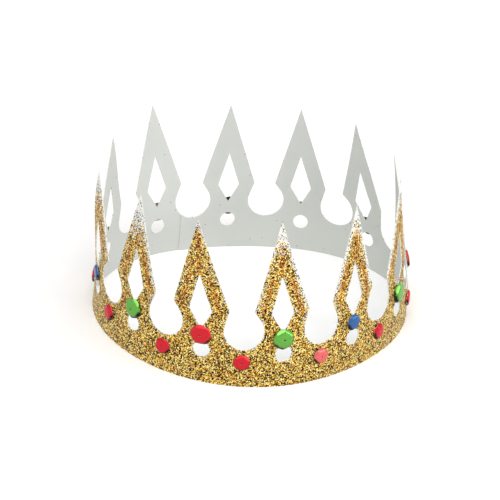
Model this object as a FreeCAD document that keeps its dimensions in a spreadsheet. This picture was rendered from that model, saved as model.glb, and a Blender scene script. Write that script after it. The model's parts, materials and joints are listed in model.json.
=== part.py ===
import FreeCAD
import Part
import Sketcher
import bisect
import math
import os

# Paper crown.
# One strip of thin card, coated on its outer side, is die-cut into a row of pointed spears on a band.
# Each spear has a kite-shaped window with a round hole under it, and a round gap on either side.
# The strip is bent into an oval ring that leans inwards a little, and its two ends lie over each other
# and are glued. Paper never stays true: each spear is bent in or out and to one side by its own amount.
# Cup sequins are glued on: one on each spear, and a small one on the band under each gap.
#
# Frame: Z is up, the ring stands on Z = 0, and the origin is under the middle of its bounding box.
# The front of the crown faces -Y. Lengths are millimetres and angles are degrees.

doc = FreeCAD.newDocument("paper_crown")

# Driving dimensions
sheet = doc.addObject("Spreadsheet::Sheet", "sizes")
SIZES = [
    ("spear_count", 12, "spears in the strip"),
    ("spear_pitch", 47.5, "centre of one spear to the next, along the strip"),
    ("card_thickness", 0.5, "thickness of the card"),
    ("front_spear_offset", 21.5, "from the front of the ring to the spear right of it, along the strip"),
    ("oval_share", 0.067, "how much longer than round the ring is, as a share of its radius"),
    ("oval_turn", 113.6, "direction of the long axis of the oval, from the front"),
    ("egg_share", 0.034, "how much blunter the back is than the front, as a share of the radius"),
    ("egg_turn", 5.5, "direction of the pointed end of the oval, from the front"),
    ("inward_lean", 3.3, "how far the wall leans inwards from upright"),
    ("bend_height", 22.0, "height of the line about which the spears are bent"),
    ("tip_height", 100.0, "height of a spear"),
    ("ear_half_width", 16.7, "half the width of a spear at its two ears"),
    ("gap_radius", 11.5, "radius of the round gap between two spears"),
    ("gap_floor", 22.9, "height of the band under a gap"),
    ("ear_rise", 12.1, "height of the ears over the middle of the gaps"),
    ("kite_top", 67.0, "top corner of the kite window"),
    ("kite_half_width", 6.8, "half the width of the kite window"),
    ("kite_shoulder", 45.0, "height where the kite window is widest"),
    ("kite_bottom", 33.1, "bottom corner of the kite window"),
    ("hole_radius", 4.8, "radius of the round hole"),
    ("hole_height", 20.3, "height of the round hole's centre"),
    ("lap_width", 15.0, "how far the two ends of the strip lie over each other"),
    ("large_sequin_radius", 6.1, "radius of a large sequin"),
    ("small_sequin_radius", 4.8, "radius of a small sequin"),
    ("large_sequin_foot", 2.8, "radius of a large sequin's flat middle, to its corners"),
    ("small_sequin_foot", 2.2, "radius of a small sequin's flat middle, to its corners"),
    ("sequin_film", 0.25, "thickness of the sequin's film"),
    ("facet_slope", 33.0, "rise of a sequin's facets from its flat middle"),
    ("sequin_eye_radius", 0.45, "radius of the needle hole in a sequin"),
    ("spear_sequin_height", 29.6, "height of the sequin on a spear"),
    ("band_sequin_height", 15.2, "height of the sequin on the band"),
    ("glue_film", 0.1, "glue between a sequin and the card"),
]
# How far each spear's tip is bent outwards, and to the right as seen from outside. The first spear is
# the one at the left of the front, and they are numbered towards the right.
TIP_OUT = [9.7, 2.7, 6.0, -3.6, -3.5, -4.4, -11.4, -7.5, -0.9, 2.1, 13.0, -1.0]
TIP_SIDE = [9.7, -1.3, -6.5, -5.5, 0.7, 6.8, -2.2, 12.3, 6.1, 3.6, 2.9, 10.5]
for number, (out, side) in enumerate(zip(TIP_OUT, TIP_SIDE), start=1):
    SIZES.append(("tip_out_%02d" % number, out, "tip of spear %d, bent outwards" % number))
    SIZES.append(("tip_side_%02d" % number, side, "tip of spear %d, bent to the right" % number))
for row, (alias, value, note) in enumerate(SIZES, start=1):
    sheet.set("A%d" % row, note)
    sheet.set("B%d" % row, str(value))
    sheet.setAlias("B%d" % row, alias)
doc.recompute()


def size(alias):
    """One driving dimension, as a plain number."""
    return float(sheet.get(alias))


# Sequins come in two sizes. On the spears they repeat in this order, from the one at the left of the front.
LARGE = "large_sequin"
SMALL = "small_sequin"
SPEAR_SEQUINS = [SMALL, LARGE, LARGE, LARGE]
# The spear that is counted from: the first one right of the front
COUNTED_SPEAR = 3
# The lap is under the gap that follows this spear, at the back of the ring
LAP_SPEAR = 9

# The oval that the lower edge of the card's outer face follows
TURN_STEPS = 2880
POINTS_PER_SPEAR = 4
spear_count = int(size("spear_count"))
pitch = size("spear_pitch")
lean = math.tan(math.radians(size("inward_lean")))


def swell(turn):
    """Radius of the oval in one direction, as a multiple of its mean radius."""
    oval = size("oval_share") * math.cos(2 * (turn - math.radians(size("oval_turn"))))
    egg = size("egg_share") * math.cos(3 * (turn - math.radians(size("egg_turn"))))
    return 1 + oval + egg


turns = [2 * math.pi * step / TURN_STEPS for step in range(TURN_STEPS + 1)]
unit_points = [(swell(turn) * math.sin(turn), -swell(turn) * math.cos(turn)) for turn in turns]
unit_lengths = [0.0]
for start, end in zip(unit_points, unit_points[1:]):
    unit_lengths.append(unit_lengths[-1] + math.dist(start, end))
mean_radius = spear_count * pitch / unit_lengths[-1]


def turn_at(distance):
    """Direction of the point that lies this far round the lower edge from the front."""
    share = (distance / mean_radius) % unit_lengths[-1]
    place = bisect.bisect_right(unit_lengths, share) - 1
    span = unit_lengths[place + 1] - unit_lengths[place]
    return turns[place] + (turns[place + 1] - turns[place]) * (share - unit_lengths[place]) / span


def distance_at(turn):
    """How far round the lower edge from the front the point in one direction lies."""
    place = turn / (2 * math.pi) % 1 * TURN_STEPS
    before = int(place)
    length = unit_lengths[before]
    return mean_radius * (length + (unit_lengths[before + 1] - length) * (place - before))


def spear_distance(index):
    """Distance round the lower edge to the middle of a spear."""
    return size("front_spear_offset") + (index - COUNTED_SPEAR) * pitch


def tip_alias(index, way):
    """Name of the size that says how far a spear's tip is bent, out or to one side."""
    return "tip_%s_%02d" % (way, index % len(TIP_OUT) + 1)


def outward_bend(turn):
    """How far the wall is bent outwards at the tips' height, passing smoothly from spear to spear."""
    place = (distance_at(turn) - spear_distance(0)) / pitch
    before = math.floor(place)
    share = (1 - math.cos(math.pi * (place - before))) / 2
    before_bend = size(tip_alias(before, "out"))
    after_bend = size(tip_alias(before + 1, "out"))
    return before_bend * (1 - share) + after_bend * share


def bent_share(height):
    """Share of the tip's bend that a height has: nothing up to the bend line, all of it at the tip."""
    bend_height = size("bend_height")
    return max(0, height - bend_height) / (size("tip_height") - bend_height)


def edge_point(turn):
    """Point of the lower edge in one direction, before the ring is centred."""
    radius = mean_radius * swell(turn)
    return FreeCAD.Vector(radius * math.sin(turn), -radius * math.cos(turn), 0)


def edge_normal(turn):
    """Level direction that points straight out of the card."""
    step = 2 * math.pi / TURN_STEPS
    along = edge_point(turn + step) - edge_point(turn - step)
    return FreeCAD.Vector(along.y, -along.x, 0).normalize()


def wall_point(turn, height, outwards):
    """Point at a height in the leaning, bent wall, this far outwards from its outer face."""
    bend = outward_bend(turn) * bent_share(height)
    point = edge_point(turn) + edge_normal(turn) * (outwards - height * lean + bend)
    point.z = height
    return point


# Every sequin: name, size, distance round the ring and height
sequins = []
for index in range(spear_count):
    number = "%02d" % (index + 1)
    spear_kind = SPEAR_SEQUINS[index % len(SPEAR_SEQUINS)]
    sway = size(tip_alias(index, "side")) * bent_share(size("spear_sequin_height"))
    spear_place = spear_distance(index) + sway
    sequins.append(("spear_sequin_" + number, spear_kind, spear_place, "spear_sequin_height"))
    gap_distance = spear_distance(index) + pitch / 2
    sequins.append(("band_sequin_" + number, SMALL, gap_distance, "band_sequin_height"))


def sequin_rise(kind):
    """Height of a sequin's rim over its base, at a fold between two facets."""
    return (size(kind + "_radius") - size(kind + "_foot")) * math.tan(math.radians(size("facet_slope")))


# The ring is centred over the origin, spears and sequins included
plan = [edge_point(turn) for turn in turns]
SLOPE_STEPS = 8
for index in range(spear_count):
    for step in range(-SLOPE_STEPS, SLOPE_STEPS + 1):
        below_tip = abs(step) / SLOPE_STEPS
        ear_height = size("gap_floor") + size("gap_radius") + size("ear_rise")
        height = size("tip_height") + (ear_height - size("tip_height")) * below_tip
        beside = size("ear_half_width") * step / SLOPE_STEPS
        beside += size(tip_alias(index, "side")) * bent_share(height)
        plan.append(wall_point(turn_at(spear_distance(index) + beside), height, 0))
for name, kind, distance, height_alias in sequins:
    turn = turn_at(distance)
    rim = wall_point(turn, size(height_alias), size("glue_film") + sequin_rise(kind))
    across = edge_normal(turn).cross(FreeCAD.Vector(0, 0, 1)) * size(kind + "_radius")
    plan += [rim + across, rim - across]
centre = FreeCAD.Vector(
    (max(point.x for point in plan) + min(point.x for point in plan)) / 2,
    (max(point.y for point in plan) + min(point.y for point in plan)) / 2,
    0,
)


def station(turn, height, outwards, leaning):
    """Placement on the outer face: X runs along the strip and Z points out of the card."""
    out = edge_normal(turn)
    up = FreeCAD.Vector(0, 0, 1)
    if leaning:
        step = 2 * math.pi / TURN_STEPS
        along = wall_point(turn + step, height, 0) - wall_point(turn - step, height, 0)
        up = wall_point(turn, height + 1, 0) - wall_point(turn, height - 1, 0)
        up.normalize()
        out = along.cross(up).normalize()
    facing = FreeCAD.Rotation(up.cross(out), up, out, "ZXY")
    point = wall_point(turn, height, 0) + out * outwards - centre
    return FreeCAD.Placement(point, facing)


# Card wall: the space between an outer and an inner leaning oval
def ring_wire(name, height, outwards):
    """Closed smooth curve round the wall at one height."""
    # Even steps of the curve's parameter keep the curves of two heights abreast of each other
    even_steps = [float(step) for step in range(spear_count * POINTS_PER_SPEAR + 1)]
    points = []
    for step in even_steps[:-1]:
        turn = turn_at(spear_distance(0) + step * pitch / POINTS_PER_SPEAR)
        points.append(wall_point(turn, height, outwards) - centre)
    curve = Part.BSplineCurve()
    curve.interpolate(Points=points, PeriodicFlag=True, Parameters=even_steps)
    wire = doc.addObject("Part::Feature", name)
    wire.Shape = Part.Wire([curve.toShape()])
    return wire


def leaning_form(name, low, high, outwards):
    """Solid oval form between two heights, straight up to the bend line and straight from there."""
    form = doc.addObject("Part::Loft", name)
    form.Sections = [
        ring_wire(name + "_low", low, outwards),
        ring_wire(name + "_bend", size("bend_height"), outwards),
        ring_wire(name + "_high", high, outwards),
    ]
    form.Solid = True
    form.Ruled = True
    return form


# The forms run past the card so that no two cut faces lie in one plane
OVERRUN = 2.0
thickness = size("card_thickness")
tip_height = size("tip_height")
outer_form = leaning_form("outer_form", 0, tip_height + OVERRUN, 0)
inner_form = leaning_form("inner_form", -OVERRUN, tip_height + 2 * OVERRUN, -thickness)
lap_form = leaning_form("lap_form", -2 * OVERRUN, tip_height + 3 * OVERRUN, -2 * thickness)

# Lap: a second layer of card inside the ring, as wide as the strip's ends lie over each other
half_lap = size("lap_width") / 2
lap_turn = turn_at(spear_distance(LAP_SPEAR) + pitch / 2)
lap_block = doc.addObject("Part::Box", "lap_block")
lap_block.setExpression("Length", "sizes.lap_width")
lap_block.setExpression("Width", "sizes.tip_height")
lap_block.setExpression("Height", "sizes.lap_width")
lap_corner = FreeCAD.Placement(FreeCAD.Vector(-half_lap, -OVERRUN, -half_lap), FreeCAD.Rotation())
lap_block.Placement = station(lap_turn, 0, 0, False).multiply(lap_corner)


def cut(name, base, tool):
    """Base with the tool taken away."""
    result = doc.addObject("Part::Cut", name)
    result.Base = base
    result.Tool = tool
    return result


lap_layer = cut("lap_layer", lap_block, lap_form)
inner_space = cut("inner_space", inner_form, lap_layer)
wall = cut("wall", outer_form, inner_space)


# Die-cut outlines, drawn flat: X runs along the strip and Y is height
ROOT = (-1, 1)
LEVEL_AXIS = -1
UPRIGHT_AXIS = -2
START = 1
END = 2
CENTRE = 3


def line(sketch, start, end):
    """Straight edge between two points, drawn roughly and settled by its constraints."""
    return sketch.addGeometry(Part.LineSegment(FreeCAD.Vector(*start), FreeCAD.Vector(*end)), False)


def arc(sketch, centre_x, centre_y, radius, first, last):
    """Part of a circle, between two directions."""
    whole = Part.Circle(FreeCAD.Vector(centre_x, centre_y), FreeCAD.Vector(0, 0, 1), radius)
    return sketch.addGeometry(Part.ArcOfCircle(whole, first, last), False)


def circle(sketch, centre_y, radius, guide=False):
    """Full circle on the upright axis."""
    shape = Part.Circle(FreeCAD.Vector(0, centre_y), FreeCAD.Vector(0, 0, 1), radius)
    return sketch.addGeometry(shape, guide)


def tie(sketch, kind, *where):
    """Constraint without a size."""
    sketch.addConstraint(Sketcher.Constraint(kind, *where))


def measure(sketch, name, expression, kind, *where):
    """Constraint with a size that follows the driving dimensions."""
    number = sketch.addConstraint(Sketcher.Constraint(kind, *where))
    sketch.renameConstraint(number, name)
    sketch.setExpression("Constraints." + name, expression)


def sway_at(index, height):
    """How far a spear's middle line lies to the right at one height."""
    return size(tip_alias(index, "side")) * bent_share(height)


def sway_expression(index, height):
    """The same, for a height that is itself written with the driving dimensions."""
    words = "sizes.%s * (%s - sizes.bend_height) / (sizes.tip_height - sizes.bend_height)"
    return words % (tip_alias(index, "side"), height)


def leave_point(ear_gap):
    """Where a straight edge from an ear just touches the gap's arc, from the arc's centre."""
    rise = size("ear_rise")
    turn = math.atan2(rise, ear_gap) - math.acos(size("gap_radius") / math.hypot(ear_gap, rise))
    return turn, size("gap_radius") * math.cos(turn), size("gap_radius") * math.sin(turn)


def spear_outline(index):
    """Outline of one spear, from the middle of one round gap to the middle of the next."""
    half_pitch = pitch / 2
    gap_radius = size("gap_radius")
    gap_floor = size("gap_floor")
    foot = gap_floor / 2
    gap_middle = gap_floor + gap_radius
    ear_y = gap_middle + size("ear_rise")
    left_ear = sway_at(index, ear_y) - size("ear_half_width")
    right_ear = sway_at(index, ear_y) + size("ear_half_width")
    tip = (size(tip_alias(index, "side")), tip_height)
    left_turn, left_across, left_up = leave_point(half_pitch + left_ear)
    right_turn, right_across, right_up = leave_point(half_pitch - right_ear)
    left_leave = (left_across - half_pitch, gap_middle + left_up)
    right_leave = (half_pitch - right_across, gap_middle + right_up)

    sketch = doc.addObject("Sketcher::SketchObject", "spear_outline_%d" % index)
    left_foot = line(sketch, (-half_pitch, foot), (-half_pitch, gap_floor))
    left_gap = arc(sketch, -half_pitch, gap_middle, gap_radius, -math.pi / 2, left_turn)
    left_throat = line(sketch, left_leave, (left_ear, ear_y))
    left_slope = line(sketch, (left_ear, ear_y), tip)
    right_slope = line(sketch, tip, (right_ear, ear_y))
    right_throat = line(sketch, (right_ear, ear_y), right_leave)
    right_gap = arc(sketch, half_pitch, gap_middle, gap_radius, math.pi - right_turn, 3 * math.pi / 2)
    right_foot = line(sketch, (half_pitch, gap_floor), (half_pitch, foot))
    base = line(sketch, (half_pitch, foot), (-half_pitch, foot))

    tie(sketch, "Coincident", left_foot, END, left_gap, START)
    tie(sketch, "Tangent", left_gap, END, left_throat, START)
    tie(sketch, "Coincident", left_throat, END, left_slope, START)
    tie(sketch, "Coincident", left_slope, END, right_slope, START)
    tie(sketch, "Coincident", right_slope, END, right_throat, START)
    tie(sketch, "Tangent", right_throat, END, right_gap, START)
    tie(sketch, "Coincident", right_gap, END, right_foot, START)
    tie(sketch, "Coincident", right_foot, END, base, START)
    tie(sketch, "Coincident", base, END, left_foot, START)
    tie(sketch, "Vertical", left_foot)
    tie(sketch, "Vertical", right_foot)
    tie(sketch, "Horizontal", base)
    tie(sketch, "Horizontal", left_slope, START, right_slope, END)
    tie(sketch, "Vertical", left_gap, CENTRE, left_gap, START)
    tie(sketch, "Vertical", right_gap, CENTRE, right_gap, END)
    tie(sketch, "Equal", left_gap, right_gap)
    tie(sketch, "Symmetric", left_gap, CENTRE, right_gap, CENTRE, UPRIGHT_AXIS)
    measure(sketch, "gap_radius", "sizes.gap_radius", "Radius", left_gap, gap_radius)
    measure(sketch, "reach", "sizes.spear_pitch / 2", "DistanceX", *ROOT, right_gap, CENTRE, half_pitch)
    measure(sketch, "gap_floor", "sizes.gap_floor", "DistanceY", *ROOT, left_gap, START, gap_floor)
    measure(sketch, "foot", "sizes.gap_floor / 2", "DistanceY", *ROOT, base, END, foot)
    ear_height = "sizes.gap_floor + sizes.gap_radius + sizes.ear_rise"
    measure(sketch, "ear_up", ear_height, "DistanceY", *ROOT, right_slope, END, ear_y)
    measure(sketch, "tip_up", "sizes.tip_height", "DistanceY", *ROOT, left_slope, END, tip_height)
    # The ears and the tip all move over with the spear
    ear_sway = sway_expression(index, "(%s)" % ear_height)
    left_words = "sizes.ear_half_width - " + ear_sway
    right_words = "sizes.ear_half_width + " + ear_sway
    tip_words = "%s + sizes.%s" % (left_words, tip_alias(index, "side"))
    measure(sketch, "left_ear", left_words, "DistanceX", left_slope, START, *ROOT, -left_ear)
    measure(sketch, "right_ear", right_words, "DistanceX", *ROOT, right_slope, END, right_ear)
    measure(sketch, "tip", tip_words, "DistanceX", left_slope, START, left_slope, END, tip[0] - left_ear)
    return sketch


def window_outline(index):
    """The kite window and the round hole of one spear."""
    heights = {alias: size(alias) for alias in ("kite_top", "kite_shoulder", "kite_bottom")}
    half_width = size("kite_half_width")
    top = (sway_at(index, heights["kite_top"]), heights["kite_top"])
    bottom = (sway_at(index, heights["kite_bottom"]), heights["kite_bottom"])
    middle = sway_at(index, heights["kite_shoulder"])
    left = (middle - half_width, heights["kite_shoulder"])
    right = (middle + half_width, heights["kite_shoulder"])
    sketch = doc.addObject("Sketcher::SketchObject", "window_outline_%d" % index)
    corners = [top, left, bottom, right]
    sides = [line(sketch, start, end) for start, end in zip(corners, corners[1:] + corners[:1])]
    for side, following in zip(sides, sides[1:] + sides[:1]):
        tie(sketch, "Coincident", side, END, following, START)
    tie(sketch, "Horizontal", sides[0], END, sides[2], END)
    measure(sketch, "top_up", "sizes.kite_top", "DistanceY", *ROOT, sides[0], START, top[1])
    measure(sketch, "bottom_up", "sizes.kite_bottom", "DistanceY", *ROOT, sides[2], START, bottom[1])
    measure(sketch, "shoulder_up", "sizes.kite_shoulder", "DistanceY", *ROOT, sides[2], END, right[1])
    # Every corner moves over with the spear
    top_sway, bottom_sway, middle_sway = [
        sway_expression(index, "sizes." + alias) for alias in ("kite_top", "kite_bottom", "kite_shoulder")
    ]
    left_words = "sizes.kite_half_width - " + middle_sway
    measure(sketch, "left", left_words, "DistanceX", sides[0], END, *ROOT, -left[0])
    width_words = "2 * sizes.kite_half_width"
    measure(sketch, "width", width_words, "DistanceX", sides[0], END, sides[2], END, 2 * half_width)
    top_words = "%s + %s" % (left_words, top_sway)
    bottom_words = "%s + %s" % (left_words, bottom_sway)
    measure(sketch, "top", top_words, "DistanceX", sides[0], END, sides[0], START, top[0] - left[0])
    measure(sketch, "bottom", bottom_words, "DistanceX", sides[0], END, sides[2], START, bottom[0] - left[0])
    hole = circle(sketch, size("hole_height"), size("hole_radius"))
    tie(sketch, "PointOnObject", hole, CENTRE, UPRIGHT_AXIS)
    measure(sketch, "hole_radius", "sizes.hole_radius", "Radius", hole, size("hole_radius"))
    hole_y = size("hole_height")
    measure(sketch, "hole_up", "sizes.hole_height", "DistanceY", *ROOT, hole, CENTRE, hole_y)
    return sketch


def punch(name, sketch, index):
    """The outline as a block that passes straight through the wall at one spear."""
    block = doc.addObject("Part::Extrusion", name)
    block.Base = sketch
    block.DirMode = "Normal"
    block.Solid = True
    block.Symmetric = True
    block.setExpression("LengthFwd", "sizes.spear_pitch")
    block.Placement = station(turn_at(spear_distance(index)), 0, 0, False)
    return block


# The card keeps its wall inside the band and the spears, and loses the windows
band_block = doc.addObject("Part::Box", "band_block")
band_block.setExpression("Length", "sizes.spear_count * sizes.spear_pitch")
band_block.setExpression("Width", "sizes.spear_count * sizes.spear_pitch")
band_block.setExpression("Height", "sizes.gap_floor + %s" % OVERRUN)
ring_length = spear_count * pitch
band_block.Placement.Base = FreeCAD.Vector(-ring_length / 2, -ring_length / 2, -OVERRUN)

kept = doc.addObject("Part::MultiFuse", "kept")
spears = [punch("spear_%d" % index, spear_outline(index), index) for index in range(spear_count)]
kept.Shapes = [band_block] + spears
windows = doc.addObject("Part::MultiFuse", "windows")
windows.Shapes = [punch("window_%d" % index, window_outline(index), index) for index in range(spear_count)]
crown_card = doc.addObject("Part::Common", "crown_card")
crown_card.Base = wall
crown_card.Tool = cut("pattern", kept, windows)
sub_parts = [crown_card]


# Sequins: a flat hexagon of film with facets folded up round it, cut to a circle
SEQUIN_SIDES = 6


def body_sketch(body, name, height_expression):
    """Sketch on the body's own level plane, lifted by an expression."""
    plane = [feature for feature in body.Origin.OriginFeatures if feature.Role == "XY_Plane"][0]
    sketch = body.newObject("Sketcher::SketchObject", name)
    sketch.AttachmentSupport = (plane, "")
    sketch.MapMode = "FlatFace"
    sketch.setExpression(".AttachmentOffset.Base.z", height_expression)
    return sketch


def hexagon(sketch, radius, expression):
    """Regular hexagon inside a guide circle of the given radius."""
    directions = [2 * math.pi * corner / SEQUIN_SIDES for corner in range(SEQUIN_SIDES)]
    corners = [(radius * math.cos(turn), radius * math.sin(turn)) for turn in directions]
    sides = [line(sketch, start, end) for start, end in zip(corners, corners[1:] + corners[:1])]
    guide = circle(sketch, 0, radius, guide=True)
    tie(sketch, "Coincident", guide, CENTRE, *ROOT)
    for side, following in zip(sides, sides[1:] + sides[:1]):
        tie(sketch, "Coincident", side, END, following, START)
        tie(sketch, "PointOnObject", side, START, guide)
    for side in sides[1:]:
        tie(sketch, "Equal", sides[0], side)
    tie(sketch, "PointOnObject", sides[0], START, LEVEL_AXIS)
    measure(sketch, "corner_radius", expression, "Radius", guide, radius)


def make_sequin(name, kind, turn, height):
    """Cup sequin with its flat middle on the card and its rim standing out."""
    radius = size(kind + "_radius")
    foot = size(kind + "_foot")
    slope = math.radians(size("facet_slope"))
    radius_expression = "sizes.%s_radius" % kind
    foot_expression = "sizes.%s_foot" % kind
    # Where the film turns up, its inner face turns a little nearer to the middle than its outer face
    half_corner = 180 / SEQUIN_SIDES
    inner_foot = foot - size("sequin_film") * math.tan(slope / 2) / math.cos(math.radians(half_corner))
    turn_up_expression = "sizes.sequin_film * tan(sizes.facet_slope / 2 * 1 deg) / cos(%s deg)" % half_corner
    inner_expression = foot_expression + " - " + turn_up_expression
    depth_expression = radius_expression + " * tan(sizes.facet_slope * 1 deg)"
    taper_expression = "(90 - sizes.facet_slope) * 1 deg"

    body = doc.addObject("PartDesign::Body", name)
    outer_sketch = body_sketch(body, name + "_outer_hexagon", "0 mm")
    hexagon(outer_sketch, foot, foot_expression)
    cup = body.newObject("PartDesign::Pad", name + "_cup")
    cup.Profile = outer_sketch
    cup.setExpression("Length", depth_expression)
    cup.setExpression("TaperAngle", taper_expression)

    inner_sketch = body_sketch(body, name + "_inner_hexagon", "sizes.sequin_film")
    hexagon(inner_sketch, inner_foot, inner_expression)
    hollow = body.newObject("PartDesign::Pocket", name + "_hollow")
    hollow.Profile = inner_sketch
    hollow.Reversed = True
    hollow.setExpression("Length", depth_expression)
    hollow.setExpression("TaperAngle", taper_expression)

    # One cut leaves the round rim and pierces the eye
    rim_sketch = body_sketch(body, name + "_rim_and_eye", "0 mm")
    for label, expression, rough_radius in (
        ("eye", "sizes.sequin_eye_radius", size("sequin_eye_radius")),
        ("rim", radius_expression, radius),
        ("waste", "3 * " + radius_expression, 3 * radius),
    ):
        ring = circle(rim_sketch, 0, rough_radius)
        tie(rim_sketch, "Coincident", ring, CENTRE, *ROOT)
        measure(rim_sketch, label + "_radius", expression, "Radius", ring, rough_radius)
    trim = body.newObject("PartDesign::Pocket", name + "_trim")
    trim.Profile = rim_sketch
    trim.Type = "ThroughAll"
    trim.Midplane = True

    body.Placement = station(turn, height, size("glue_film"), True)
    return body


for name, kind, distance, height_alias in sequins:
    sub_parts.append(make_sequin(name, kind, turn_at(distance), size(height_alias)))

# Check every object before anything is written
doc.recompute()
for item in doc.Objects:
    if "Invalid" in item.State or "Error" in item.State:
        raise RuntimeError("failed: " + item.Name)
for item in sub_parts:
    if item.Shape.isNull() or not item.Shape.isValid():
        raise RuntimeError("bad shape: " + item.Label)

os.makedirs("parts", exist_ok=True)
for item in sub_parts:
    item.Shape.exportStep("parts/%s.step" % item.Label)
    print(item.Label, "solids", len(item.Shape.Solids), "volume", round(item.Shape.Volume, 3))
print("ring", round(mean_radius, 2), "mean radius,", round(spear_count * pitch, 1), "round")
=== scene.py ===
# %% [markdown]
# # A paper crown
#
# The crown is one strip of thin card with gold glitter on its outer side. It is die-cut into pointed
# spears, bent into an oval ring, glued at the back, and set with small foil cup sequins.
# This lesson loads the measured solids first, because every new surface has to sit where they are.
# All shapes below are worked out in millimetres and put into meshes in metres.

# %% The measured solids
import json
import math

import bmesh
import bpy
import mathutils
import numpy as np
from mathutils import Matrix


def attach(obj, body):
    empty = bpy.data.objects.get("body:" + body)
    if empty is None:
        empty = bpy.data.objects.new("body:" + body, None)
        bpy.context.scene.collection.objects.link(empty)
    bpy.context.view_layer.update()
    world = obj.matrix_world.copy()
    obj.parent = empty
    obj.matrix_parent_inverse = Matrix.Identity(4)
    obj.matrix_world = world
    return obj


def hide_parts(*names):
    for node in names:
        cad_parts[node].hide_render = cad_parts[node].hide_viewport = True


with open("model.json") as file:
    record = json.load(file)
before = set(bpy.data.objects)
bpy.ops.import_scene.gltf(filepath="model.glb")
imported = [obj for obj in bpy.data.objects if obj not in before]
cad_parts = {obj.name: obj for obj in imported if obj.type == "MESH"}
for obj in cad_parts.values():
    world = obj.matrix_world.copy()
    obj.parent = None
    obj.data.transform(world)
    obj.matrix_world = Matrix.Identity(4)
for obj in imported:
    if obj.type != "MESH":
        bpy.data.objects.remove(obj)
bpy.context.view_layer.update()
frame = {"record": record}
METRES = 0.001

# %% [markdown]
# ## The ring that the card is bent into
#
# A strip of card that is held in a ring never makes a true circle. This one is a little oval, and blunter
# at the back. A curve could be drawn by hand and the card bent along it with a modifier, but a short
# formula for the radius is exact, and the same distances round the ring then place every spear.

# %% The oval of the lower edge
SPEARS = 12
PITCH = 47.5
OVAL_SHARE = 0.067
OVAL_TURN = math.radians(113.6)
EGG_SHARE = 0.034
EGG_TURN = math.radians(5.5)
LEAN = math.tan(math.radians(3.3))

turns = np.linspace(0, 2 * np.pi, 2881)
swell = 1 + OVAL_SHARE * np.cos(2 * (turns - OVAL_TURN)) + EGG_SHARE * np.cos(3 * (turns - EGG_TURN))
unit_edge = np.stack([swell * np.sin(turns), -swell * np.cos(turns)], axis=1)
unit_steps = np.linalg.norm(np.diff(unit_edge, axis=0), axis=1)
MEAN_RADIUS = SPEARS * PITCH / unit_steps.sum()
edge_curve = unit_edge * MEAN_RADIUS
edge_distance = np.concatenate([[0], np.cumsum(unit_steps)]) * MEAN_RADIUS

# The record's resting point is in the middle of the card's lower edge, at the front of the ring
CARD = 0.5
front_step = edge_curve[1] - edge_curve[-2]
front_normal = np.array([front_step[1], -front_step[0]]) / np.linalg.norm(front_step)
rest_point = np.array(frame["record"]["mounts"][0]["pos_m"][:2]) / METRES
ring_shift = rest_point - (edge_curve[0] - front_normal * CARD / 2)
print("mean radius", round(MEAN_RADIUS, 2), "mm, ring shifted by", np.round(ring_shift, 2))

# %% [markdown]
# ## How each spear is bent
#
# Card is never quite flat. Every spear of this crown is bent in or out and to one side by its own amount,
# which is what makes it look like paper and not like plastic. A bend grows from nothing at the bend line,
# so the band and the lower edge stay true. The sideways bend belongs to the flat drawing, further on.

# %% The wall of the crown as a surface
FIRST_SPEAR_AT = 21.5 - 3 * PITCH
TIP = 100.0
BEND_LINE = 22.0
BEND_ROUNDING = 2.0
TIP_OUT = np.array([9.7, 2.7, 6.0, -3.6, -3.5, -4.4, -11.4, -7.5, -0.9, 2.1, 13.0, -1.0])
TIP_SIDE = np.array([9.7, -1.3, -6.5, -5.5, 0.7, 6.8, -2.2, 12.3, 6.1, 3.6, 2.9, 10.5])


def bent_share(height):
    """Share of the tip's bend: nothing below the bend line, then a short curve, then a straight line."""
    above = (height - BEND_LINE) / BEND_ROUNDING
    return BEND_ROUNDING * np.logaddexp(0, above) / (TIP - BEND_LINE)


def outward_bend(distance):
    """Bend of the tips in and out, passed on from spear to spear in half a cosine wave."""
    place = (distance - FIRST_SPEAR_AT) / PITCH
    before = np.floor(place)
    share = (1 - np.cos(np.pi * (place - before))) / 2
    spear = before.astype(int) % SPEARS
    return TIP_OUT[spear] * (1 - share) + TIP_OUT[(spear + 1) % SPEARS] * share


def wall(distance, height, outwards):
    """Point of the leaning wall: the oval's point, moved along its normal by the lean and the bend."""
    distance, height, outwards = np.broadcast_arrays(distance, height, outwards)
    around = np.mod(distance, SPEARS * PITCH)
    reach = 0.5
    ahead = np.mod(around + reach, SPEARS * PITCH)
    behind = np.mod(around - reach, SPEARS * PITCH)
    edge, front, back = [
        np.stack([np.interp(where, edge_distance, edge_curve[:, axis]) for axis in range(2)], axis=-1)
        for where in (around, ahead, behind)
    ]
    along = front - back
    along /= np.linalg.norm(along, axis=-1, keepdims=True)
    normal = np.stack([along[..., 1], -along[..., 0]], axis=-1)
    out = outwards - height * LEAN + bent_share(height) * outward_bend(distance)
    plan = edge + normal * out[..., None] + ring_shift
    return np.concatenate([plan, height[..., None]], axis=-1)


# %% [markdown]
# ## One spear, drawn flat
#
# A die cuts the strip while it is flat, so the outline is drawn flat too: distance along the strip and
# height. Every level line across half a spear runs from a window, or from the middle, to the outer edge.
# Two functions of height say where it starts and ends, and a grid between the two is the card. A spear
# whose tip is bent to one side takes its ears and its kite window with it, but not the round hole.

# %% The outlines as functions of height
EAR_X = 16.7
EAR_Y = 46.5
GAP_RADIUS = 11.5
GAP_FLOOR = 22.9
GAP_MIDDLE = GAP_FLOOR + GAP_RADIUS
KITE_TOP = 67.0
KITE_HALF_WIDTH = 6.8
KITE_SHOULDER = 45.0
KITE_BOTTOM = 33.1
HOLE_RADIUS = 4.8
HOLE_MIDDLE = 20.3
KITE_ROUNDING = 0.25


def sway(height, tip_over):
    """How far a spear's middle line has moved over, with its tip this far over."""
    return tip_over * np.clip(height - BEND_LINE, 0, None) / (TIP - BEND_LINE)


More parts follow.
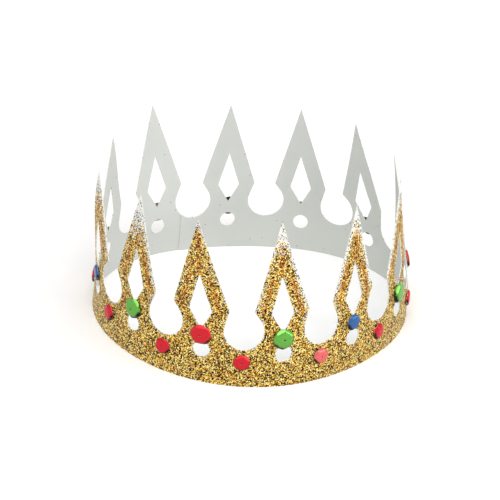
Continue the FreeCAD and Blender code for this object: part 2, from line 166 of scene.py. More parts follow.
def outer_edge(height, tip_over=0.0):
    """Reach of the strip on one side: the whole cell in the band, the gap's arc, the throat, the slope."""
    ear = EAR_X + sway(EAR_Y, tip_over)
    ear_gap = PITCH / 2 - ear
    leave_turn = math.atan2(EAR_Y - GAP_MIDDLE, ear_gap)
    leave_turn -= math.acos(GAP_RADIUS / math.hypot(ear_gap, EAR_Y - GAP_MIDDLE))
    leave_x = PITCH / 2 - GAP_RADIUS * math.cos(leave_turn)
    leave_y = GAP_MIDDLE + GAP_RADIUS * math.sin(leave_turn)
    arc = PITCH / 2 - np.sqrt(np.clip(GAP_RADIUS**2 - (height - GAP_MIDDLE) ** 2, 0, None))
    throat = np.interp(height, [leave_y, EAR_Y], [leave_x, ear])
    slope = np.interp(height, [EAR_Y, TIP], [ear, tip_over])
    above_floor = np.where(height < leave_y, arc, np.where(height < EAR_Y, throat, slope))
    return np.where(height <= GAP_FLOOR, PITCH / 2, above_floor)


def window(height):
    """Half width of the windows: the round hole's chord, or the nearer of the kite's two sides."""
    hole = np.sqrt(np.clip(HOLE_RADIUS**2 - (height - HOLE_MIDDLE) ** 2, 0, None))
    rising = (height - KITE_BOTTOM) / (KITE_SHOULDER - KITE_BOTTOM) * KITE_HALF_WIDTH
    falling = (KITE_TOP - height) / (KITE_TOP - KITE_SHOULDER) * KITE_HALF_WIDTH
    kite = -KITE_ROUNDING * np.log(np.exp(-rising / KITE_ROUNDING) + np.exp(-falling / KITE_ROUNDING))
    return np.maximum(hole, np.clip(kite, 0, None))


def inner_edge(height, tip_over=0.0):
    """Where the card starts on one side of the middle."""
    return window(height) + np.where(height > HOLE_MIDDLE + HOLE_RADIUS, sway(height, tip_over), 0)


# Levels are a millimetre apart, and closer where an arc starts or ends level
round_starts = 1 - np.cos(np.linspace(0, np.pi / 2, 7))
levels = np.unique(
    np.round(
        np.concatenate(
            [
                np.linspace(0, TIP, 101),
                HOLE_MIDDLE - HOLE_RADIUS * (1 - round_starts),
                HOLE_MIDDLE + HOLE_RADIUS * (1 - round_starts),
                GAP_FLOOR + GAP_RADIUS * round_starts,
                [KITE_BOTTOM, KITE_SHOULDER, KITE_TOP, EAR_Y],
            ]
        ),
        2,
    )
)
print("levels", len(levels), "half width at the ears", outer_edge(np.array([EAR_Y])).round(2))

# %% [markdown]
# ## The card
#
# The card is a thin closed solid: a glittery outer side, a plain inner side and narrow cut edges between
# them. Two grids and the strips that join them give all three at once, with no modifier. Real glitter
# stands up in grains, so each point of the outer side is lifted by its own small random height.

# %% Two grids for the whole strip
COLUMNS = 15
GRAIN = 0.16
HALVES = np.array([-1, 1])
shares = np.linspace(0, 1, COLUMNS + 1)
middles = (levels[1:] + levels[:-1]) / 2
window_open = window(middles) > 0
gap_open = middles > GAP_FLOOR


def half_spear(tip_over):
    """Distances from the middle line to the points of one half of a spear."""
    first = inner_edge(levels, tip_over)[:, None]
    last = outer_edge(levels, tip_over)[:, None]
    return first * (1 - shares) + last * shares


across = np.array([[half * half_spear(half * tip_side) for half in HALVES] for tip_side in TIP_SIDE])
flat_x = FIRST_SPEAR_AT + np.arange(SPEARS)[:, None, None, None] * PITCH + across
flat_y = np.broadcast_to(levels[:, None], flat_x.shape)
draw = np.random.default_rng(12)
lift = draw.random(flat_x.shape) * GRAIN
# Points that meet across the middle of a spear, or across a gap, get the same lift, and so does the tip
lift[:, 1, :, 0] = lift[:, 0, :, 0]
lift[:, 0, :, -1] = np.roll(lift[:, 1, :, -1], 1, axis=0)
lift[:, :, -1] = 0
lift[:, :, window(levels) > 0, 0] = 0
lift[:, :, levels > GAP_FLOOR, -1] = 0
outer_side = wall(flat_x, flat_y, lift)
inner_side = wall(flat_x, flat_y, -CARD)
print("grid of", flat_x.shape, "points on each side")


# %% [markdown]
# ## Turning grids into closed solids
#
# Every piece here is a front grid and a back grid with the same rows and columns. One helper lists the
# faces of both, and the strips that close them along the edges that are open. A strip is left out where
# two blocks of the card meet, so that no wall is hidden inside it. Points that coincide are then merged.

# %% Faces and meshes from grids
FRONT, BACK, EDGE = 0, 1, 2


def closed_faces(rows, columns, first_open, last_open, wrap=False):
    """Front, back and edge faces of one block. Its back points follow its front points in the list."""
    index = np.arange(rows * columns).reshape(rows, columns)
    if wrap:
        index = np.concatenate([index, index[:, :1]], axis=1)
    behind = index + rows * columns
    front = np.stack([index[:-1, :-1], index[:-1, 1:], index[1:, 1:], index[1:, :-1]], axis=-1)
    front = front.reshape(-1, 4)
    back = front[:, ::-1] + rows * columns
    edges = [
        np.stack([index[0, :-1], behind[0, :-1], behind[0, 1:], index[0, 1:]], axis=-1),
        np.stack([index[-1, 1:], behind[-1, 1:], behind[-1, :-1], index[-1, :-1]], axis=-1),
    ]
    if not wrap:
        first = np.stack([index[1:, 0], behind[1:, 0], behind[:-1, 0], index[:-1, 0]], axis=-1)
        last = np.stack([index[:-1, -1], behind[:-1, -1], behind[1:, -1], index[1:, -1]], axis=-1)
        edges += [first[first_open], last[last_open]]
    edge = np.concatenate(edges)
    kinds = np.repeat([FRONT, BACK, EDGE], [len(front), len(back), len(edge)])
    return np.concatenate([front, back, edge]), kinds


def grid_piece(name, points, faces, kinds, materials, flat_map, values, smooth):
    """Mesh of the points, in metres, with its flat map and its values, closed where points coincide."""
    mesh = bpy.data.meshes.new(name)
    mesh.from_pydata((points * METRES).tolist(), [], faces.tolist())
    for material in materials:
        mesh.materials.append(material)
    mesh.polygons.foreach_set("material_index", kinds.astype(np.int32))
    corners = faces.reshape(-1)
    flat = mesh.uv_layers.new(name="flat")
    flat.data.foreach_set("uv", flat_map[corners].astype(np.float32).reshape(-1))
    for label, numbers in values.items():
        layer = mesh.attributes.new(label, "FLOAT", "POINT")
        layer.data.foreach_set("value", numbers.astype(np.float32))
    shell = bmesh.new()
    shell.from_mesh(mesh)
    bmesh.ops.remove_doubles(shell, verts=shell.verts, dist=0.002 * METRES)
    open_edges = sum(not edge.is_manifold for edge in shell.edges)
    volume = shell.calc_volume(signed=True)
    shell.to_mesh(mesh)
    shell.free()
    mesh.polygons.foreach_set("use_smooth", np.full(len(mesh.polygons), smooth))
    piece = bpy.data.objects.new(name, mesh)
    bpy.context.scene.collection.objects.link(piece)
    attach(piece, "root")
    print(name, len(mesh.polygons), "faces", open_edges, "open edges", round(volume * 1e9, 2), "mm3")
    return piece


# %% [markdown]
# ## Glitter
#
# Glitter is small metallised flakes in glue. Seen from arm's length each flake is one speck: bright where
# it mirrors the light, nearly black where it doesn't, gold or orange in between. A noise texture would
# look soft, so a Voronoi texture gives crisp cells. Each cell picks one colour of a short row, and tilts
# its own normal. The row's palest step is a painted glint and its darkest step is painted shade, so part
# of the sparkle is painted into the colour. At the cut edges and the tips the flakes have rubbed off and
# the white card shows.

# %% Helpers for node materials
def new_material(name):
    """Material with an empty principled surface, and its node tree."""
    material = bpy.data.materials.new(name)
    material.use_nodes = True
    tree = material.node_tree
    return material, tree, tree.nodes["Principled BSDF"]


def node(tree, kind, inputs=None, **settings):
    """Node with its settings. Inputs are plain values, or sockets that get linked."""
    made = tree.nodes.new(kind)
    for label, value in settings.items():
        setattr(made, label, value)
    for label, value in (inputs or {}).items():
        if isinstance(value, bpy.types.NodeSocket):
            tree.links.new(value, made.inputs[label])
        else:
            made.inputs[label].default_value = value
    return made


def maths(tree, operation, first, second=0.0, third=0.0, clamp=False):
    """Result of a Math node."""
    inputs = {0: first, 1: second, 2: third}
    return node(tree, "ShaderNodeMath", inputs, operation=operation, use_clamp=clamp).outputs[0]


def linear(red, green, blue):
    """Colour as a screen shows it, 0 to 255, as the linear colour that a shader wants."""
    shown = np.array([red, green, blue]) / 255
    return (*np.where(shown < 0.04045, shown / 12.92, ((shown + 0.055) / 1.055) ** 2.4), 1.0)


def colour_row(tree, factor, colours):
    """Color Ramp with hard steps. Each colour comes with the share of the cells that wear it."""
    ramp = node(tree, "ShaderNodeValToRGB", {0: factor})
    ramp.color_ramp.interpolation = "CONSTANT"
    start = 0.0
    for number, (share, colour) in enumerate(colours):
        if number < 2:
            stop = ramp.color_ramp.elements[number]
            stop.position = start
        else:
            stop = ramp.color_ramp.elements.new(start)
        stop.color = linear(*colour)
        start += share
    return ramp.outputs[0]


def mixed(tree, factor, first, second):
    """Mix of two colours."""
    mix = node(tree, "ShaderNodeMix", data_type="RGBA")
    for socket, value in ((0, factor), (6, first), (7, second)):
        if isinstance(value, bpy.types.NodeSocket):
            tree.links.new(value, mix.inputs[socket])
        else:
            mix.inputs[socket].default_value = value
    return mix.outputs[2]


# %% The glitter coat
FLAKES_PER_MM = 1.9
# In both rows the nearly black first step is painted shade and the palest last step is a painted glint,
# beside the flakes' own gold and orange
GOLD_FLAKES_AND_PAINTED_GLINTS = [
    (0.35, (6, 3, 1)),
    (0.12, (112, 74, 16)),
    (0.17, (196, 146, 38)),
    (0.15, (238, 194, 72)),
    (0.21, (255, 240, 160)),
]
ORANGE_FLAKES_AND_PAINTED_GLINTS = [
    (0.24, (30, 14, 3)),
    (0.30, (150, 78, 16)),
    (0.26, (204, 126, 36)),
    (0.20, (244, 190, 96)),
]
WORN_CARD = (246, 245, 238)
BARE_SPECKS = (62, 50, 34)
ORANGE_PATCHES_PER_MM = 0.12
FLAKE_METAL = 0.65
FLAKE_TILT = 0.9


def glitter_material():
    """Cells of the flat map choose a flake colour, some a painted glint, some painted shade, and a tilt.
    Wear and warmth come with the mesh.
    """
    material, tree, surface = new_material("gold_glitter")
    flat = node(tree, "ShaderNodeUVMap", uv_map="flat").outputs[0]
    cells = node(
        tree, "ShaderNodeTexVoronoi", {"Vector": flat, "Scale": FLAKES_PER_MM}, voronoi_dimensions="2D"
    )
    parts = node(tree, "ShaderNodeSeparateColor", {0: cells.outputs["Color"]})
    gold = colour_row(tree, parts.outputs[0], GOLD_FLAKES_AND_PAINTED_GLINTS)
    orange = colour_row(tree, parts.outputs[0], ORANGE_FLAKES_AND_PAINTED_GLINTS)
    warmth = node(tree, "ShaderNodeAttribute", attribute_name="warmth").outputs["Fac"]
    patches = {"Vector": flat, "Scale": ORANGE_PATCHES_PER_MM, "Detail": 2.0}
    patch = node(tree, "ShaderNodeTexNoise", patches).outputs[0]
    chance = maths(tree, "MULTIPLY_ADD", patch, 0.5, -0.16)
    chance = maths(tree, "ADD", chance, warmth)
    is_orange = maths(tree, "LESS_THAN", parts.outputs[1], chance)
    flake = mixed(tree, is_orange, gold, orange)
    wear = node(tree, "ShaderNodeAttribute", attribute_name="wear").outputs["Fac"]
    # What is left on worn card are single dark flakes
    lonely = maths(tree, "MULTIPLY_ADD", wear, 2.0, -0.5, clamp=True)
    is_lonely = maths(tree, "LESS_THAN", parts.outputs[0], lonely)
    flake = mixed(tree, is_lonely, flake, linear(*BARE_SPECKS))
    is_worn = maths(tree, "LESS_THAN", parts.outputs[2], wear)
    tree.links.new(mixed(tree, is_worn, flake, linear(*WORN_CARD)), surface.inputs["Base Color"])
    metal = maths(tree, "MULTIPLY_ADD", is_worn, -FLAKE_METAL, FLAKE_METAL)
    tree.links.new(metal, surface.inputs["Metallic"])
    rough = maths(tree, "MULTIPLY_ADD", parts.outputs[1], 0.3, 0.25)
    tree.links.new(rough, surface.inputs["Roughness"])
    # Each flake lies at its own angle
    tilt = node(
        tree,
        "ShaderNodeVectorMath",
        {0: cells.outputs["Color"], 1: (FLAKE_TILT,) * 3, 2: (-FLAKE_TILT / 2,) * 3},
        operation="MULTIPLY_ADD",
    ).outputs[0]
    level = node(tree, "ShaderNodeNewGeometry").outputs["Normal"]
    leaning = node(tree, "ShaderNodeVectorMath", {0: level, 1: tilt}, operation="ADD").outputs[0]
    normal = node(tree, "ShaderNodeVectorMath", {0: leaning}, operation="NORMALIZE").outputs[0]
    tree.links.new(normal, surface.inputs["Normal"])
    return material


glitter = glitter_material()
print(glitter.name, "with", len(GOLD_FLAKES_AND_PAINTED_GLINTS), "gold and", len(ORANGE_FLAKES_AND_PAINTED_GLINTS), "orange tones")


# %% Plain card
CARD_SPECK = (92, 84, 66)


def card_material(name, tone, speck_share):
    """Uncoated card: faint fibres in colour and height, and a few stray specks of glitter."""
    material, tree, surface = new_material(name)
    flat = node(tree, "ShaderNodeUVMap", uv_map="flat").outputs[0]
    fibre = node(tree, "ShaderNodeTexNoise", {"Vector": flat, "Scale": 1.6, "Detail": 5.0}).outputs[0]
    cloud = node(tree, "ShaderNodeTexNoise", {"Vector": flat, "Scale": 0.03, "Detail": 2.0}).outputs[0]
    shade = maths(tree, "MULTIPLY_ADD", fibre, 0.5, maths(tree, "MULTIPLY", cloud, 0.5), clamp=True)
    pale = linear(*[min(255, part + 7) for part in tone])
    dull = linear(*[part - 9 for part in tone])
    colour = mixed(tree, shade, dull, pale)
    specks = node(tree, "ShaderNodeTexVoronoi", {"Vector": flat, "Scale": 1.4}, voronoi_dimensions="2D")
    chance = node(tree, "ShaderNodeSeparateColor", {0: specks.outputs["Color"]}).outputs[0]
    near = maths(tree, "LESS_THAN", specks.outputs["Distance"], 0.42)
    is_speck = maths(tree, "MULTIPLY", maths(tree, "LESS_THAN", chance, speck_share), near)
    tree.links.new(mixed(tree, is_speck, colour, linear(*CARD_SPECK)), surface.inputs["Base Color"])
    surface.inputs["Roughness"].default_value = 0.85
    surface.inputs["Specular IOR Level"].default_value = 0.25
    bump = node(tree, "ShaderNodeBump", {"Height": fibre, "Strength": 0.25, "Distance": 0.05 * METRES})
    tree.links.new(bump.outputs[0], surface.inputs["Normal"])
    return material


plain_side = card_material("card_inside", (211, 213, 208), 0.002)
cut_edge = card_material("card_cut_edge", (238, 236, 228), 0.05)
print(plain_side.name, "and", cut_edge.name)

# %% [markdown]
# ## Where the glitter has worn
#
# Two numbers ride along with every point of the card. Warmth is high along the middle of a spear's two
# arms, where the flakes lie thick and look orange. Wear is high at the tips and along the cut edges. Both
# come from the flat drawing: how far a point is from the nearest cut edge, and how high it is.

# %% How far every point is from a cut edge
CUT_POINTS_PER_STEP = 5
LONGEST_CUT_STEP = 4.0

open_outer = levels >= GAP_FLOOR
cut_line = np.concatenate(
    [
        np.stack([outer_edge(levels[open_outer]), levels[open_outer]], axis=1),
        np.stack([window(levels), levels], axis=1)[window(levels) > 0],
        np.stack([PITCH - outer_edge(levels[open_outer]), levels[open_outer]], axis=1),
    ]
)
# Longer steps are jumps from one cut to the next, so they are left out
finer = np.linspace(0, 1, CUT_POINTS_PER_STEP + 1)[:-1, None, None]
steps_along = cut_line[1:] - cut_line[:-1]
close = np.linalg.norm(steps_along, axis=1) < LONGEST_CUT_STEP
cut_points = (cut_line[:-1][close] + finer * steps_along[close]).reshape(-1, 2)
half_x = half_spear(0)
half_grid = np.stack([half_x, np.broadcast_to(levels[:, None], half_x.shape)], axis=-1).reshape(-1, 2)
from_cut = np.sqrt(((half_grid[:, None] - cut_points[None]) ** 2).sum(-1)).min(axis=1).reshape(half_x.shape)
from_outer = np.clip(outer_edge(levels)[:, None] - half_x, 0, None)
print("distance from a cut up to", round(float(from_cut.max()), 1), "mm")

# %% Wear and warmth over the card
TIP_WEAR = np.array([26, 30, 9, 22, 20, 24, 16, 16, 16, 16, 16, 20])
TIP_WEAR_FADE = 0.75
MOST_TIP_WEAR = 0.9
LEFT_EDGE_WEAR = np.array([0.3, 0.1, 0.1, 0.35, 0.75, 0.9, 0.4, 0.4, 0.4, 0.4, 0.4, 0.4])
RIGHT_EDGE_WEAR = np.array([0.6, 0.8, 0.25, 0.95, 0.95, 0.5, 0.4, 0.4, 0.4, 0.4, 0.4, 0.4])
EDGE_WEAR_REACH = 2.2
EDGE_WEAR_RISE = 20
CUT_WEAR = 0.45
CUT_WEAR_REACH = 0.5
MOST_WARMTH = 0.8
WARMTH_RISE = 12
ARM_MIDDLE = 3.5
ARM_MIDDLE_SOFTNESS = 0.8
TIP_MIDDLE = 1.2

edge_wear = np.stack([LEFT_EDGE_WEAR, RIGHT_EDGE_WEAR], axis=1)[:, :, None, None]
rising_share = np.clip((levels - GAP_MIDDLE) / EDGE_WEAR_RISE, 0, 1)[:, None]
worn_edge = edge_wear * rising_share * np.exp(-((from_outer / EDGE_WEAR_REACH) ** 2))
above_wear = levels[None, :] - (TIP - TIP_WEAR[:, None])
worn_tip = np.clip(above_wear / (TIP_WEAR_FADE * TIP_WEAR[:, None]), 0, MOST_TIP_WEAR)
worn_cut = CUT_WEAR * np.exp(-from_cut / CUT_WEAR_REACH)
wear = np.maximum(np.maximum(worn_edge, worn_tip[:, None, :, None]), worn_cut)

arms = np.clip((levels - KITE_BOTTOM) / WARMTH_RISE, 0, 1)[:, None]
beside_kite = np.clip((from_cut - ARM_MIDDLE) / ARM_MIDDLE_SOFTNESS, 0, 1)
warm_part = np.where(levels[:, None] < KITE_TOP, beside_kite, half_x < TIP_MIDDLE)
warmth = np.broadcast_to(MOST_WARMTH * arms * warm_part, flat_x.shape)
print("wear up to", round(float(wear.max()), 2), "and warmth up to", round(float(warmth.max()), 2))

# %% The whole card as one solid
base_faces, base_kinds = closed_faces(*half_x.shape, window_open, gap_open)
# Strips where blocks meet are left out. A tip's strip has no width, and goes when its points merge
block = 2 * half_x.size
faces = []
for spear in range(SPEARS):
    for half in range(2):
        own = base_faces + (spear * 2 + half) * block
        faces.append(own if half == 1 else own[:, ::-1])
points = np.stack([outer_side, inner_side], axis=2).reshape(-1, 3)
flat_map = np.repeat(np.stack([flat_x, flat_y], axis=-1)[:, :, None], 2, axis=2).reshape(-1, 2)
values = {
    "wear": np.repeat(np.broadcast_to(wear, flat_x.shape)[:, :, None], 2, axis=2).reshape(-1),
    "warmth": np.repeat(warmth[:, :, None], 2, axis=2).reshape(-1),
}
card = grid_piece(
    "glitter_card",
    points,
    np.concatenate(faces),
    np.tile(base_kinds, SPEARS * 2),
    [glitter, plain_side, cut_edge],
    flat_map,
    values,
    smooth=False,
)
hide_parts("crown_card")

# %% [markdown]
# ## The glued lap
#
# The strip's two ends lie over each other at the back, under one of the gaps. The inner end shows as a
# second layer of card with its own cut edge. It is a small grid of its own, a hair away from the card.

# %% The strip's inner end
LAP_SPEAR = 9
LAP_HALF = 7.5
GLUE = 0.05
lap_x = np.linspace(-LAP_HALF, LAP_HALF, 13)
lap_top = GAP_MIDDLE - np.sqrt(GAP_RADIUS**2 - lap_x**2)
lap_y = np.linspace(0, 1, 20)[:, None] * lap_top
lap_place = FIRST_SPEAR_AT + (LAP_SPEAR + 0.5) * PITCH + np.broadcast_to(lap_x, lap_y.shape)
lap_faces, lap_kinds = closed_faces(*lap_y.shape, slice(None), slice(None))
lap_front = wall(lap_place, lap_y, -CARD - GLUE)
lap_back = wall(lap_place, lap_y, -2 * CARD - GLUE)
lap_map = np.tile(np.stack([lap_place, lap_y], axis=-1).reshape(-1, 2), (2, 1))
lap = grid_piece(
    "lap_end",
    np.concatenate([lap_front.reshape(-1, 3), lap_back.reshape(-1, 3)]),
    lap_faces,
    lap_kinds,
    [plain_side, plain_side, cut_edge],
    lap_map,
    {},
    smooth=False,
)

# %% [markdown]
# ## Cup sequins
#
# A cup sequin is a disc of foil pressed to a flat hexagon with facets round it, and pierced in the
# middle. It is glued with its domed side out, so the facets fall away to the rim. The lower part of the
# lip is painted dark, a painted reflection of the shade below the crown. The fall is a function of the
# distance from the middle measured across the hexagon, so the facets, the folds between them and the
# scalloped lip all follow from one line.

# %% Foils
def foil_material(name, colour, metallic=0.75):
    """Metallised film: a slightly uneven mirror, finely ribbed from the middle outwards, with painted shade
    mixed in.
    """
    material, tree, surface = new_material(name)
    flat = node(tree, "ShaderNodeUVMap", uv_map="flat").outputs[0]
    uneven = node(tree, "ShaderNodeTexNoise", {"Vector": flat, "Scale": 0.9, "Detail": 3.0}).outputs[0]
    shade = node(tree, "ShaderNodeAttribute", attribute_name="shade").outputs["Fac"]
    light = linear(*[min(255, int(part * 1.08) + 8) for part in colour])
    deep = linear(*[int(part * 0.86) for part in colour])
    dark = linear(*[int(part * 0.16) for part in colour])
    foil = mixed(tree, uneven, deep, light)
    # The shade attribute mixes in painted shade, a dark copy of the foil where the lip would mirror the
    # dark
    tree.links.new(mixed(tree, shade, foil, dark), surface.inputs["Base Color"])
    surface.inputs["Metallic"].default_value = metallic
    tree.links.new(maths(tree, "MULTIPLY_ADD", uneven, 0.2, 0.2), surface.inputs["Roughness"])
    bump = node(tree, "ShaderNodeBump", {"Height": uneven, "Strength": 0.4, "Distance": 0.1 * METRES})
    tree.links.new(bump.outputs[0], surface.inputs["Normal"])
    return material


FOILS = {
    "red": foil_material("red_foil", (200, 30, 42)),
    "pale": foil_material("faded_red_foil", (224, 104, 100)),
    "green": foil_material("green_foil", (98, 166, 66)),
    "blue": foil_material("blue_foil", (50, 96, 152)),
}
BACKS = {
    "red": foil_material("red_film_back", (236, 232, 230), 0.0),
    "pale": foil_material("faded_film_back", (236, 232, 230), 0.0),
    "green": foil_material("green_film_back", (20, 46, 20), 0.0),
    "blue": foil_material("blue_film_back", (232, 234, 238), 0.0),
}
print("foils", list(FOILS))

# %% The sequin as a surface
SEQUIN_SIDES = 6
FACET_SLOPE = math.tan(math.radians(9))
LIP_SLOPE = math.tan(math.radians(50))
LIP_SHARE = 0.74
FOLD = 0.12
RIBS = 36
RIB_HEIGHT = 0.015


def sequin_fall(x, y, radius, foot):
    """Nothing inside the hexagon, then growing with the distance across it, and faster in the lip."""
    turns_of = np.arange(SEQUIN_SIDES) * 2 * np.pi / SEQUIN_SIDES + np.pi / SEQUIN_SIDES
    across = (x[..., None] * np.cos(turns_of) + y[..., None] * np.sin(turns_of)).max(axis=-1)
    flat = foot * math.cos(math.pi / SEQUIN_SIDES)
    fall = FOLD * np.logaddexp(0, (across - flat) / FOLD)
    lip = FOLD * np.logaddexp(0, (across - LIP_SHARE * radius) / FOLD)
    ribs = RIB_HEIGHT * np.cos(RIBS * np.arctan2(y, x)) * np.clip(across - flat, 0, 1)
    return fall * FACET_SLOPE + lip * (LIP_SLOPE - FACET_SLOPE) + ribs


# %% The painted shade on the lip
DARK_BELOW = -0.9
LIP_SOFTNESS = 0.06
DARK_FROM = 0.45
DARK_SOFTNESS = 0.2


def painted_lip_shade(reach, turned_x, turned_y, place):
    """Painted shade: how dark the lip is painted where it would mirror the dark below the crown, and the
    dark in front of it from the crown's sides.
    """
    seen_from = 2 * math.pi * place / (SPEARS * PITCH)
    dark_side = np.array([-math.sin(seen_from), DARK_BELOW])
    dark_side /= np.linalg.norm(dark_side)
    towards_dark = turned_x * dark_side[0] + turned_y * dark_side[1]
    in_lip = np.clip((reach - LIP_SHARE) / LIP_SOFTNESS, 0, 1)
    return in_lip * np.clip((towards_dark - DARK_FROM) / DARK_SOFTNESS, 0, 1)


# %% One sequin in its place
FILM = 0.12
EYE = 0.45
EYE_RIM = 0.35
LARGE = (6.1, 2.8)
SMALL = (4.8, 2.2)
SEQUIN_RINGS = 12
SEQUIN_COLUMNS = 72


def card_axes(place, height):
    """Point on the grains of the card, and the directions along, up and out from it."""
    middle = wall(place, height, GRAIN)
    along = wall(place + 1, height, GRAIN) - wall(place - 1, height, GRAIN)
    up = wall(place, height + 1, GRAIN) - wall(place, height - 1, GRAIN)
    along /= np.linalg.norm(along)
    out = np.cross(along, up)
    out /= np.linalg.norm(out)
    return middle, along, np.cross(out, along), out


def sequin(name, replaced, place, height, size, colour, turn):
    """Polar grid of the sequin, carried to its place on the card, with a thin film's thickness."""
    radius, foot = size
    rings = np.concatenate([[EYE], np.linspace(EYE + EYE_RIM, radius, SEQUIN_RINGS)])
    angles = np.arange(SEQUIN_COLUMNS) * 2 * np.pi / SEQUIN_COLUMNS
    x = rings[:, None] * np.cos(angles)
    y = rings[:, None] * np.sin(angles)
    z = -sequin_fall(x, y, radius, foot)
    z -= z.min()
    turned_x = x * math.cos(turn) - y * math.sin(turn)
    turned_y = x * math.sin(turn) + y * math.cos(turn)
    # Painted shade: the lip's lower side and its side towards the front's middle are painted dark
    shade = painted_lip_shade(np.hypot(x, y) / radius, turned_x / radius, turned_y / radius, place)
    middle, along, up, out = card_axes(place, height)
    spread = middle + turned_x[..., None] * along + turned_y[..., None] * up
    front = spread + (z + FILM)[..., None] * out
    back = spread + z[..., None] * out
    # Columns run anticlockwise and rows outwards, so the rows are turned round to face the front outwards
    faces, kinds = closed_faces(*x.shape, None, None, wrap=True)
    piece = grid_piece(
        name,
        np.concatenate([front[::-1].reshape(-1, 3), back[::-1].reshape(-1, 3)]),
        faces,
        kinds,
        [FOILS[colour], BACKS[colour], BACKS[colour]],
        np.tile(np.stack([x, y], axis=-1)[::-1].reshape(-1, 2), (2, 1)) + [place, height],
        {"shade": np.concatenate([shade[::-1].reshape(-1), np.zeros(shade.size)])},
        smooth=True,
    )
    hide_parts(replaced)


# %% [markdown]
# ## Setting the sequins
#
# The colours repeat round the crown: blue, green, red, green on the spears, and always red on the band.
# They are glued by hand, so each is turned by its own random angle. One of the band's has faded.

# %% All the sequins
SPEAR_ORDER = [("blue", SMALL), ("green", LARGE), ("red", LARGE), ("green", LARGE)]
SPEAR_SEQUIN_HEIGHT = 29.6
BAND_SEQUIN_HEIGHT = 15.2
FADED_BAND_SEQUIN = 3
hand = np.random.default_rng(5)
for index in range(SPEARS):
    number = "%02d" % (index + 1)
    colour, size = SPEAR_ORDER[index % len(SPEAR_ORDER)]
    middle_of = FIRST_SPEAR_AT + index * PITCH
    gap_of = middle_of + PITCH / 2
    middle_of += sway(SPEAR_SEQUIN_HEIGHT, TIP_SIDE[index])
    spear_turn, band_turn = hand.uniform(0, math.pi / 3, 2)
    sequin(
        "spear_foil_" + number,
        "spear_sequin_" + number,
        middle_of,
        SPEAR_SEQUIN_HEIGHT,
        size,
        colour,
        spear_turn,
    )
    sequin(
        "band_foil_" + number,
        "band_sequin_" + number,
        gap_of,
        BAND_SEQUIN_HEIGHT,
        SMALL,
        "pale" if index == FADED_BAND_SEQUIN else "red",
        band_turn,
    )

# %% [markdown]
# ## A white place to stand
#
# The crown is photographed against plain white. A floor and a world that are white to the camera give
# that without more light on the object, and the floor still takes the crown's soft shadow.

# %% Floor
FLOOR_SIZE = 6.0
FLOOR_BELOW = 0.0002
FLOOR_WHITE = (0.86, 0.86, 0.86, 1)
WHITE_AT_CROWN = 0.12
WHITE_PER_METRE = 0.45
WHITEST = 0.7


def seen_share(tree):
    """1 for what the camera sees, straight, in a mirror or through glass, and 0 for light on the crown."""
    paths = node(tree, "ShaderNodeLightPath")
    seen = maths(tree, "MAXIMUM", paths.outputs["Is Camera Ray"], paths.outputs["Is Glossy Ray"])
    return maths(tree, "MAXIMUM", seen, paths.outputs["Is Transmission Ray"])


bpy.ops.mesh.primitive_plane_add(size=FLOOR_SIZE, location=(0, 0, -FLOOR_BELOW))
floor = bpy.context.object
floor.name = "studio_floor"
white, tree, surface = new_material("studio_white")
surface.inputs["Base Color"].default_value = FLOOR_WHITE
surface.inputs["Roughness"].default_value = 0.9
# The floor whitens with its distance from the crown, as the lamps' light falls off
place = node(tree, "ShaderNodeTexCoord").outputs["Object"]
away = node(tree, "ShaderNodeVectorMath", {0: place}, operation="LENGTH").outputs["Value"]
whitening = maths(tree, "MULTIPLY_ADD", away, WHITE_PER_METRE, WHITE_AT_CROWN)
whitening = maths(tree, "MINIMUM", whitening, WHITEST)
glow = maths(tree, "MULTIPLY", seen_share(tree), whitening)
tree.links.new(glow, surface.inputs["Emission Strength"])
surface.inputs["Emission Color"].default_value = (1, 1, 1, 1)
floor.data.materials.append(white)
print("floor", FLOOR_SIZE, "m wide")

# %% World
WORLD_LIGHT = 0.55
world = bpy.data.worlds.new("studio_world")
bpy.context.scene.world = world
world.use_nodes = True
tree = world.node_tree
background = tree.nodes["Background"]
strength = maths(tree, "MULTIPLY_ADD", seen_share(tree), 1 - WORLD_LIGHT, WORLD_LIGHT)
tree.links.new(strength, background.inputs["Strength"])
background.inputs["Color"].default_value = (1, 1, 1, 1)
print("world lights the crown at", WORLD_LIGHT, "and is seen at full white")

# %% [markdown]
# ## The lamps
#
# The picture has one broad light above the crown and a weaker one from the right, and soft shadows. A
# small lamp would draw hard shadows, so both are wide area lamps that look at the crown.

# %% Lamps
CROWN_MIDDLE = (0, 0, 0.05)


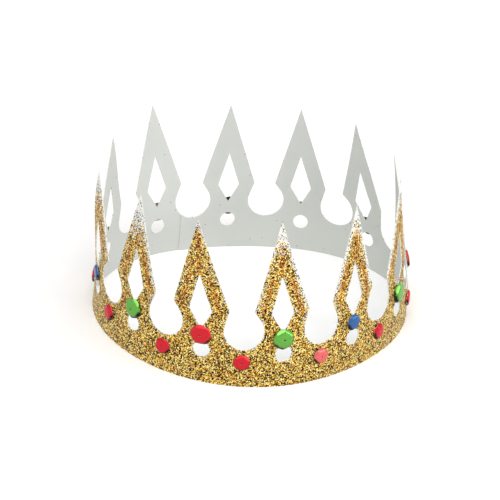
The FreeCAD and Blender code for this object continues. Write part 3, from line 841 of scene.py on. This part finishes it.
def soft_lamp(name, place, size, watts):
    """Square area lamp that looks at the crown."""
    lamp = bpy.data.lights.new(name, "AREA")
    lamp.size = size
    lamp.energy = watts
    holder = bpy.data.objects.new(name, lamp)
    holder.location = place
    towards = mathutils.Vector(CROWN_MIDDLE) - holder.location
    holder.rotation_euler = towards.to_track_quat("-Z", "Y").to_euler()
    bpy.context.scene.collection.objects.link(holder)
    print(name, size, "m wide,", watts, "W")


soft_lamp("lamp_above", (-0.1, -0.5, 1.1), 0.8, 8)
soft_lamp("lamp_right", (1.1, -0.3, 0.6), 0.6, 5.5)

# %% [markdown]
# ## The camera
#
# The camera stands a metre away and looks down by about 28 degrees. It was held a little askew, which
# is a small roll about its own axis. Its lens follows from how large the crown stands in the picture.

# %% Camera
VIEW_DISTANCE = 1085.3
VIEW_DOWN = 0.48245
VIEW_YAW = -0.00288
VIEW_ROLL = 0.08374
FOCUS_HEIGHT = 40.0
FOCAL_PIXELS = 1828.9
PICTURE_PIXELS = 500
SENSOR = 36.0

forward = np.array([0, math.cos(VIEW_DOWN), -math.sin(VIEW_DOWN)])
right = np.array([1.0, 0, 0])
upward = np.cross(right, forward)
eye = -forward * VIEW_DISTANCE + [0, 0, FOCUS_HEIGHT] + [*ring_shift, 0]
cos_yaw, sin_yaw = math.cos(VIEW_YAW), math.sin(VIEW_YAW)
forward, right = cos_yaw * forward + sin_yaw * right, cos_yaw * right - sin_yaw * forward
cos_roll, sin_roll = math.cos(VIEW_ROLL), math.sin(VIEW_ROLL)
right, upward = cos_roll * right + sin_roll * upward, cos_roll * upward - sin_roll * right
lens = bpy.data.cameras.new("camera")
lens.sensor_width = SENSOR
lens.lens = FOCAL_PIXELS / PICTURE_PIXELS * SENSOR
lens.clip_end = 20
camera = bpy.data.objects.new("camera", lens)
turning = mathutils.Matrix(np.stack([right, upward, -forward], axis=1).tolist()).to_4x4()
camera.matrix_world = mathutils.Matrix.Translation((eye * METRES).tolist()) @ turning
bpy.context.scene.collection.objects.link(camera)
bpy.context.scene.camera = camera
bpy.context.scene.view_settings.view_transform = "Standard"
print("camera at", np.round(eye * METRES, 3), "lens", round(lens.lens, 1), "mm")
